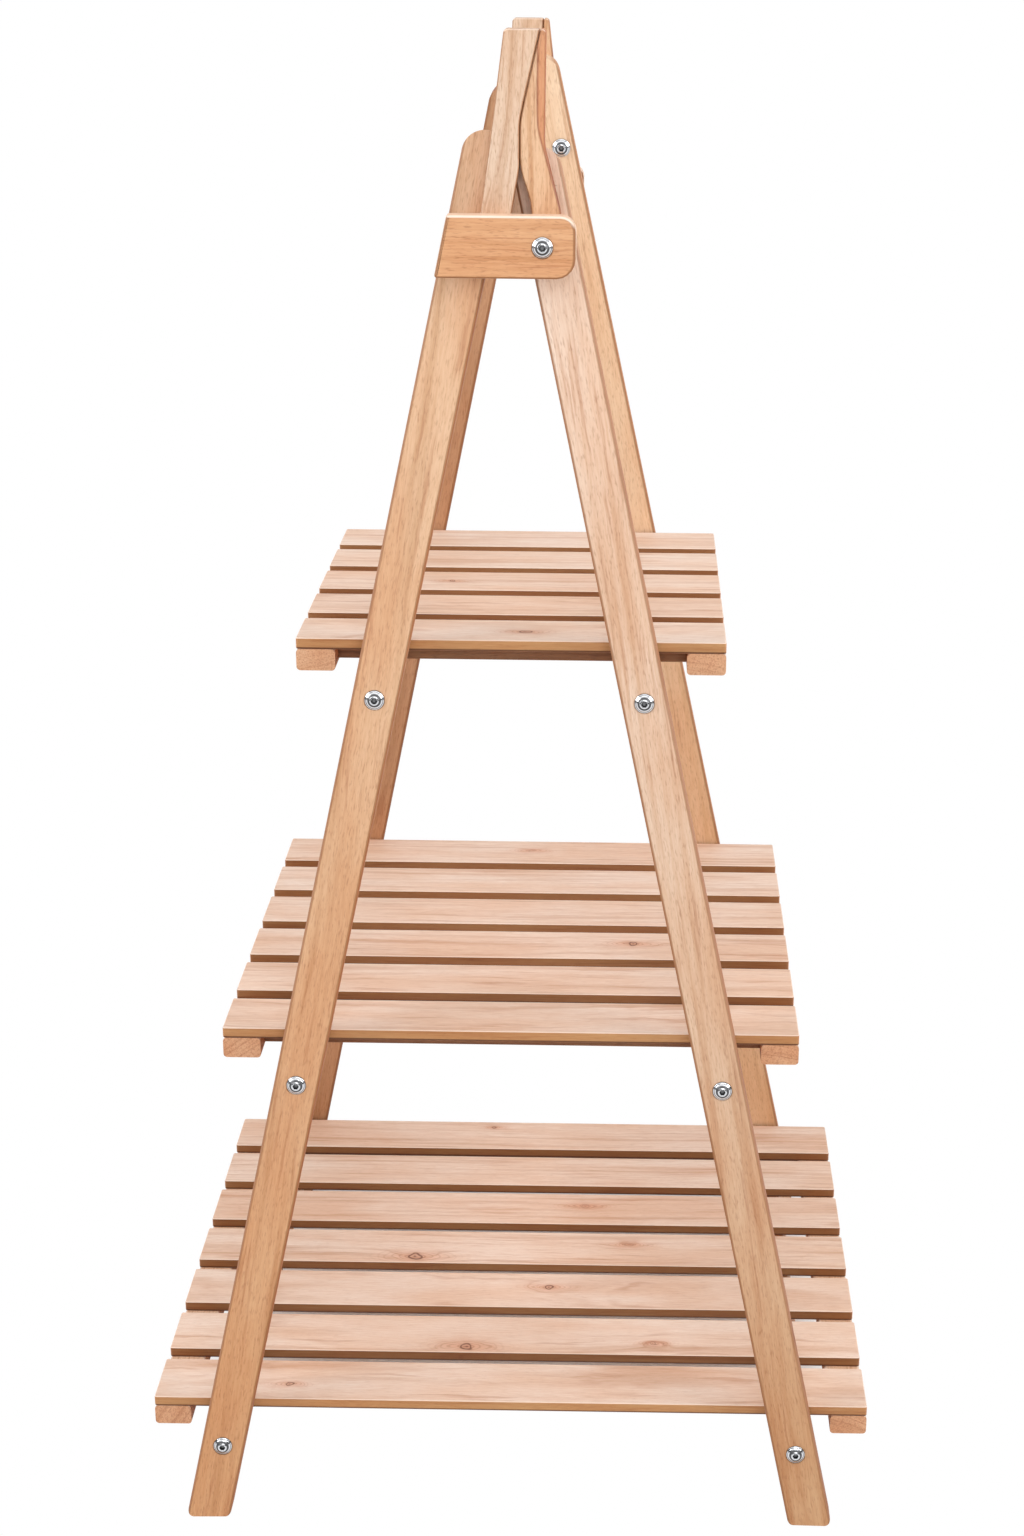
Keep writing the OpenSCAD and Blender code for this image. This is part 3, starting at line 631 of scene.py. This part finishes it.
def bolt_mesh(length):
    """Button-head bolt, its seat at z = 0. The rings' painted reflection is 1 where painted bright and 0
    where painted dark.
    """
    shank = [(SHANK_R - 0.6, -length, 0.6), (SHANK_R, 0.6 - length, 0.6), (SHANK_R, 0.0, 0.4)]
    rim = [(HEAD_R - 0.3, 0.0, 0.0), (HEAD_R, 0.3, 0.0), (HEAD_R, 0.8, 0.2)]
    # painted highlight on the bevel, dome and crown; painted shade and dark reflection on the rim, in the
    # groove, on the slope and down the socket
    bevel = [(7.3, 1.05, 1.0), (6.8, 1.35, 1.0)]
    groove = [(6.65, 1.4, 0.1), (6.45, 1.4, 0.1)]
    dome = [(6.3, 1.6, 1.0), (5.8, 2.0, 1.0), (5.3, 2.3, 1.0)]
    slope = [(5.15, 2.4, 0.15), (4.2, 3.1, 0.1), (3.7, 3.5, 0.15)]
    crown = [(3.5, 3.65, 1.0), (3.1, 3.85, 1.0), (2.7, 3.95, 1.0)]
    mouth, wall = hex_ring(SOCKET_AF + 0.4), hex_ring(SOCKET_AF)
    socket = [(mouth, HEAD_H - 0.1, 1.0), (wall, HEAD_H - 0.4, 0.1), (wall, HEAD_H - SOCKET_DEPTH, 0.0),
              (0.7, HEAD_H - SOCKET_DEPTH - 0.3, 0.3)]
    return lathe("button_head_bolt", shank + rim + bevel + groove + dome + slope + crown + socket)


def screw_mesh(length):
    """Countersunk screw, its head's top at z = 0, with a round recess in the head."""
    tip = [(0.3, -length, 0.5), (SCREW_R, SCREW_TIP_L - length, 0.5)]
    head = [(SCREW_R, SCREW_R - SCREW_HEAD_R, 0.5), (SCREW_HEAD_R, 0.0, 0.8)]
    recess = [(1.5, 0.0, 0.9), (1.2, -0.2, 0.3), (0.8, -1.6, 0.0)]
    return lathe("countersunk_screw", tip + head + recess)


def fastener_seats(node, turned_over):
    """Seat, outward axis and length below the seat of every fastener in a CAD node.

    A fastener is one island of the node's mesh; its axis is its long direction,
    and its head is where it is thickest.
    """
    work = bmesh.new()
    work.from_mesh(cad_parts[node].data)
    bmesh.ops.remove_doubles(work, verts=work.verts, dist=SAME_POINT * MM)
    seen = set()
    seats = []
    for first in work.verts:
        if first in seen:
            continue
        seen.add(first)
        found = [first]
        for vert in found:
            others = [edge.other_vert(vert) for edge in vert.link_edges]
            others = [other for other in others if other not in seen]
            seen.update(others)
            found.extend(others)
        points = np.array([v.co for v in found])
        centre = points.mean(axis=0)
        axis = np.linalg.svd(points - centre, full_matrices=False)[2][0]
        along = (points - centre) @ axis
        away = np.linalg.norm(points - centre - np.outer(along, axis), axis=1)
        head = away > 0.97 * away.max()
        if along[head].mean() < (along.max() + along.min()) / 2:
            axis, along = -axis, -along
        seat = along[head].max() if turned_over else along[head].min()
        seats.append((centre + axis * seat, axis, seat - along.min()))
    work.free()
    return sorted(seats, key=lambda s: tuple(np.round(s[0], 4)))


def fastener_tree():
    """Sets one fastener on each point, turned to the point's axis."""
    tree, given = new_group("set_fasteners", "GeometryNodeTree",
                            [("Seats", "Geometry"), ("Fastener", "Object"), ("Material", "Material")],
                            [("Fasteners", "Geometry")])
    axis = add_node(tree, "GeometryNodeInputNamedAttribute", {"Name": "axis"}, data_type="FLOAT_VECTOR")
    turn = add_node(tree, "FunctionNodeAlignRotationToVector", {"Vector": axis}, axis="Z")
    one = add_node(tree, "GeometryNodeObjectInfo", {"Object": given["Fastener"]})
    seated = add_node(tree, "GeometryNodeInstanceOnPoints",
                      {"Points": given["Seats"], "Instance": one.outputs["Geometry"], "Rotation": turn})
    real = add_node(tree, "GeometryNodeRealizeInstances", {"Geometry": seated})
    finished = add_node(tree, "GeometryNodeSetMaterial", {"Geometry": real, "Material": given["Material"]})
    add_node(tree, "NodeGroupOutput", {0: finished})
    return tree


def set_fasteners(node, body, tree, make_mesh, material, turned_over=False):
    """Bolts or screws in the seats of a CAD node, as one piece. turned_over seats them at the head's top."""
    seats = fastener_seats(node, turned_over)
    mesh = bpy.data.meshes.new(node + "_seats")
    mesh.from_pydata([tuple(place) for place, axis, length in seats], [], [])
    axes = mesh.attributes.new("axis", "FLOAT_VECTOR", "POINT")
    for item, (place, axis, length) in zip(axes.data, seats):
        item.vector = axis
    piece = add_object("fitted_" + node, mesh)
    shortest = min(length for place, axis, length in seats)
    pattern = add_object("pattern_" + node, make_mesh(shortest / MM))
    use_tree(piece, tree, Fastener=pattern, Material=material)
    smooth_by_angle(piece.data, 40)
    bpy.data.objects.remove(pattern)
    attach(piece, body)
    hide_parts(node)
    return piece


# ---- The stand ----

FIGURE = figure_group()
KNOT = knot_group()


def arm_edge_streak(tree, at):
    """An orange band along the right arm's outer edge, and the dark line beside it."""
    bend_z = 1109.0              # the line is upright above this height
    upright_x = 20.5
    slope = 0.29                 # and leans outwards below it
    bend_soft = 12.0
    line_w = 1.2
    below = maths(tree, "SUBTRACT", bend_z, at.outputs["X"])
    below = maths(tree, "SMOOTH_MAX", below, 0.0, bend_soft)
    line_x = maths(tree, "MULTIPLY_ADD", below, slope, upright_x)
    past = maths(tree, "SUBTRACT", at.outputs["Y"], line_x)
    band = ramp(tree, past, -0.5, 1.0)
    away = maths(tree, "ABSOLUTE", past)
    line = add_node(tree, "ShaderNodeMapRange",
                    {"Value": away, "From Min": 0.0, "From Max": line_w, "To Min": 1.0, "To Max": 0.0})
    return band, line


RIGHT, BACK, UP = (1, 0, 0), (0, 1, 0), (0, 0, 1)
UPRIGHT = grain_turn(UP, RIGHT)
ALONG_Y = grain_turn(BACK, (-1, 0, 0))
FACING_FRONT = grain_turn(RIGHT, UP)

# Early wood, late wood, and the tint that a leg takes towards its foot
LEG_COLOURS = {
    "front_left": ("#E8C9AA", "#D4AE8A", "#E6CFB4"),
    "front_right": ("#F8E9DC", "#E7CBB3", "#CFB28F"),
    "back_left": ("#C79C79", "#A97F5B", "#FFF4EA"),
    "back_right": ("#F2D8BA", "#DDB991", "#F2E6D8"),
}
ARM_COLOURS = {"left": ("#E3CCB6", "#CCAB8E"), "right": ("#EBCDAD", "#D3A880")}

# Where in the trunk each board is cut: any number gives a figure of its own
SIDE_CUT = {"left": 0.13, "right": 0.52}
END_CUT = {"front": 0.0, "back": 0.31}
SLAT_SEEDS = {"top": 12, "middle": 5, "bottom": 6}

for side in SIDES:
    ladder = side + "_ladder"
    for end in ENDS:
        cut = SIDE_CUT[side] + END_CUT[end]
        early, late, foot = LEG_COLOURS[f"{end}_{side}"]
        # the edge tint darkens the legs' narrow sides as painted shade
        leg_wood = sanded_pine(f"oiled_pine_{end}_{side}_leg", early, late, leg_grain(side, end), board=cut,
                               ring=9.0, edge="#D2AE90", foot=foot, arris=0.75)
        sanded(f"{end}_{side}_leg", ladder, leg_wood, EASED["leg"], UP)
        early, late = ARM_COLOURS[side]
        arm_wood = sanded_pine(f"oiled_pine_{end}_{side}_arm", early, late, UPRIGHT, board=cut + 0.07,
                               ring=6.0, edge="#DDBB9C", streak=arm_edge_streak if side == "right" else None)
        sanded(f"{end}_{side}_arm", ladder, arm_wood, EASED["arm"], UP, held=False)
for end in ENDS:
    # painted light: the brackets' fronts are tinted darker than their paler tops and bottoms, and their
    # arrises take the strongest painted highlight and shade
    bracket_wood = sanded_pine(f"oiled_pine_{end}_bracket", "#F8E6D5", "#E3C6A8", FACING_FRONT,
                               board=0.4 + 0.3 * (end == "back"), ring=7.0, face="#E6C6A4", edge="#FFF6EE",
                               arris=0.95)
    sanded(f"{end}_bracket", "left_ladder", bracket_wood, EASED["bracket"], RIGHT,
           held=False)

for number, shelf in enumerate(SHELVES):
    body = shelf + "_shelf"
    low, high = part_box(shelf + "_slat_1")
    # the slats' narrow sides are browner, partly their own colour and partly painted shade
    slat_wood = sanded_pine(f"sanded_pine_{shelf}_slats", "#F0DBCC", "#DDBDA7", board="board", ring=5.0,
                            edge="#CCA877", gap_shade="#A27C52", end="#DDB597", arris=0.8, pores=0.15,
                            top=high[2] / MM, depth=-2 * low[1] / MM, knots=KNOTS[shelf])
    lay_shelf(shelf, SLAT_SEEDS[shelf], slat_wood)
    batten_wood = sanded_pine(f"sanded_pine_{shelf}_battens", "#EACDB3", "#D8B496", ALONG_Y,
                              board=0.2 + 0.3 * number, ring=3.0, edge="#D9B496", end="#F4DFCC")
    # the rails' dark brown is partly the slats' front brown and partly painted shade under the slats
    rail_wood = sanded_pine(f"sanded_pine_{shelf}_rails", "#8A5F3C", "#6C4729",
                            board=0.35 + 0.2 * number, ring=3.0)
    for side in SIDES:
        sanded(f"{shelf}_{side}_batten", body, batten_wood, EASED["batten"], BACK)
        rung_wood = sanded_pine(f"oiled_pine_{side}_{shelf}_rung", "#DDB08A", "#BD8A60", ALONG_Y,
                                board=0.1 + 0.17 * number + 0.4 * (side == "right"), ring=3.4)
        sanded(f"{side}_{shelf}_rung", side + "_ladder", rung_wood, EASED["rung"], BACK)
    for end in ENDS:
        sanded(f"{shelf}_{end}_rail", body, rail_wood, EASED["rail"], RIGHT)

BOLTS = {
    "left_rung_bolts": "left_ladder",
    "right_rung_bolts": "right_ladder",
    "hinge_bolts": "right_ladder",
    "left_arm_bolts": "left_ladder",
    "right_arm_bolts": "right_ladder",
}
bolt_steel = nickel_steel("nickel_plated_steel_bolts")
screw_steel = turned_metal("zinc_plated_steel_screws", ("#9C9B96", "#C9C7BE"), 0.4)
seating = fastener_tree()
for node, body in BOLTS.items():
    set_fasteners(node, body, seating, bolt_mesh, bolt_steel)
for shelf in SHELVES:
    set_fasteners(shelf + "_screws", shelf + "_shelf", seating, screw_mesh, screw_steel,
                  turned_over=True)

# pieces that keep their CAD mesh and get their finish only
brass = turned_metal("turned_brass_inserts", ("#A9823F", "#D1AE68"), 0.35)
washer_steel = turned_metal("zinc_plated_steel_washers", ("#9FA1A3", "#C8CACC"), 0.35)
dowel_wood = sanded_pine("turned_beech_dowels", "#D9B48C", "#B98B60", ALONG_Y, board=0.8, ring=1.6)
for node, material in (("left_rung_inserts", brass), ("right_rung_inserts", brass), ("hinge_inserts", brass),
                       ("hinge_washers", washer_steel), ("bracket_dowels", dowel_wood)):
    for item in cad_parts[node].material_slots:
        item.material = material


# ---- Floor, light and camera ----

# Where the floor keeps its shadow, in metres: the zone's middle, half sizes and soft border
SHADOW_MIDDLE = (0.0, 0.095, 0.0)
SHADOW_HALF = (0.25, 0.155, 1.0)
SHADOW_FADE = 0.06

# Each softbox: its name, place and aim, its width and height, all in metres, and its watts
SOFTBOXES = [
    ("key_softbox", (0.5, -3.1, 2.1), (0, 0, 0.5), 2.0, 2.0, 32),
    ("top_softbox", (0.0, -0.3, 3.2), (0, 0, 0.3), 2.0, 2.0, 7),
    ("back_softbox", (-0.4, 3.1, 0.9), (0, 0, 0.5), 2.0, 1.2, 11),
    ("left_softbox", (-2.4, -0.8, 1.9), (0, 0, 0.35), 1.6, 1.6, 40),
    ("right_softbox", (2.4, -0.8, 1.9), (0, 0, 0.35), 1.6, 1.6, 40),
]


def direct_rays(tree):
    """1 for rays from the eye, or passed on by gloss or glass, and 0 for light that falls on things."""
    seen = add_node(tree, "ShaderNodeLightPath")
    direct = maths(tree, "MAXIMUM", seen.outputs["Is Camera Ray"], seen.outputs["Is Glossy Ray"])
    return maths(tree, "MAXIMUM", direct, seen.outputs["Is Transmission Ray"])


def pale_floor():
    """A plain matt floor that fades into the white background and keeps the stand's soft shadow."""
    work = bmesh.new()
    bmesh.ops.create_grid(work, x_segments=1, y_segments=1, size=6.0)
    piece = add_object("floor", mesh_from(work, "floor", 30))
    material, tree, output = new_material("matt_white_floor")
    matt = add_node(tree, "ShaderNodeBsdfDiffuse", {"Color": linear("#F4F4F4")})
    white = add_node(tree, "ShaderNodeEmission", {"Color": (1, 1, 1, 1), "Strength": 1.0})
    direct = direct_rays(tree)
    # under the bottom shelf the shadow stays; around the stand the floor turns white
    place = add_node(tree, "ShaderNodeTexCoord").outputs["Object"]
    offset = vector_maths(tree, "SUBTRACT", place, SHADOW_MIDDLE)
    offset = vector_maths(tree, "ABSOLUTE", offset)
    past = vector_maths(tree, "SUBTRACT", offset, SHADOW_HALF)
    past = vector_maths(tree, "MAXIMUM", past, (0, 0, 0))
    away = vector_maths(tree, "LENGTH", past)
    fade = ramp(tree, away.outputs["Value"], 0.0, SHADOW_FADE)
    factor = maths(tree, "MULTIPLY", fade, direct)
    shader = add_node(tree, "ShaderNodeMixShader", {"Fac": factor, 1: matt, 2: white})
    tree.links.new(shader.outputs[0], output.inputs["Surface"])
    piece.data.materials.append(material)


def white_studio():
    """White all around for the eye and for gloss, and an even, weaker light for the wood."""
    even_light = 0.5
    wall_dark = 0.92
    world = bpy.data.worlds.new("white_studio")
    world.use_nodes = True
    tree = world.node_tree
    tree.nodes.clear()
    seen = add_node(tree, "ShaderNodeLightPath")
    strength = add_node(tree, "ShaderNodeMapRange",
                        {"Value": direct_rays(tree), "To Min": even_light, "To Max": 1.0})

    # gloss sees a dark wall in front of the stand: full up to 20 degrees above the horizon, gone at 37
    way = add_node(tree, "ShaderNodeTexCoord").outputs["Generated"]
    parts = add_node(tree, "ShaderNodeSeparateXYZ", {0: way})
    front = ramp(tree, parts.outputs["Y"], 0.1, -0.3)
    low = ramp(tree, parts.outputs["Z"], 0.6, 0.35)
    dark = maths(tree, "MULTIPLY", front, low)
    dark = maths(tree, "MULTIPLY", dark, seen.outputs["Is Glossy Ray"])
    dark = maths(tree, "MULTIPLY", dark, wall_dark)
    kept = maths(tree, "SUBTRACT", 1.0, dark)
    strength = maths(tree, "MULTIPLY", strength, kept)
    light = add_node(tree, "ShaderNodeBackground", {"Color": (1, 1, 1, 1), "Strength": strength})
    add_node(tree, "ShaderNodeOutputWorld", {"Surface": light})
    bpy.context.scene.world = world


def soft_light(name, place, aim, width, height, watts):
    """A softbox at one place, aimed at another; places in metres."""
    data = bpy.data.lights.new(name, "AREA")
    data.shape = "RECTANGLE"
    data.size, data.size_y = width, height
    data.energy = watts
    lamp = bpy.data.objects.new(name, data)
    lamp.location = place
    lamp.rotation_euler = (Vector(aim) - Vector(place)).to_track_quat("-Z", "Y").to_euler()
    bpy.context.scene.collection.objects.link(lamp)


def photo_camera():
    """The photograph's view, fitted to the shelves' corners and the legs' edges."""
    place = Vector((91.8, -1914.6, 1258.8)) * MM
    yaw, pitch, roll = -0.00862, 0.3477, -0.00985     # radians: right, down, clockwise
    focal_px, centre_x_px = 2382.2, 610.0             # in the 1024 x 1536 image
    image_w, image_h = 1024, 1536
    data = bpy.data.cameras.new("photo_camera")
    data.sensor_width = 36.0
    data.lens = focal_px / image_h * data.sensor_width
    data.shift_x = (image_w / 2 - centre_x_px) / image_h
    data.clip_end = 50
    forward = Vector((math.sin(yaw) * math.cos(pitch), math.cos(yaw) * math.cos(pitch), -math.sin(pitch)))
    level = Vector((math.cos(yaw), -math.sin(yaw), 0))
    plumb = forward.cross(level)
    right = math.cos(roll) * level + math.sin(roll) * plumb
    down = -math.sin(roll) * level + math.cos(roll) * plumb
    camera = bpy.data.objects.new("photo_camera", data)
    camera.matrix_world = Matrix.Translation(place) @ Matrix((right, -down, -forward)).transposed().to_4x4()
    bpy.context.scene.collection.objects.link(camera)
    bpy.context.scene.camera = camera


pale_floor()
white_studio()
for softbox in SOFTBOXES:
    soft_light(*softbox)
photo_camera()
bpy.context.scene.view_settings.view_transform = "Standard"

bpy.context.view_layer.update()
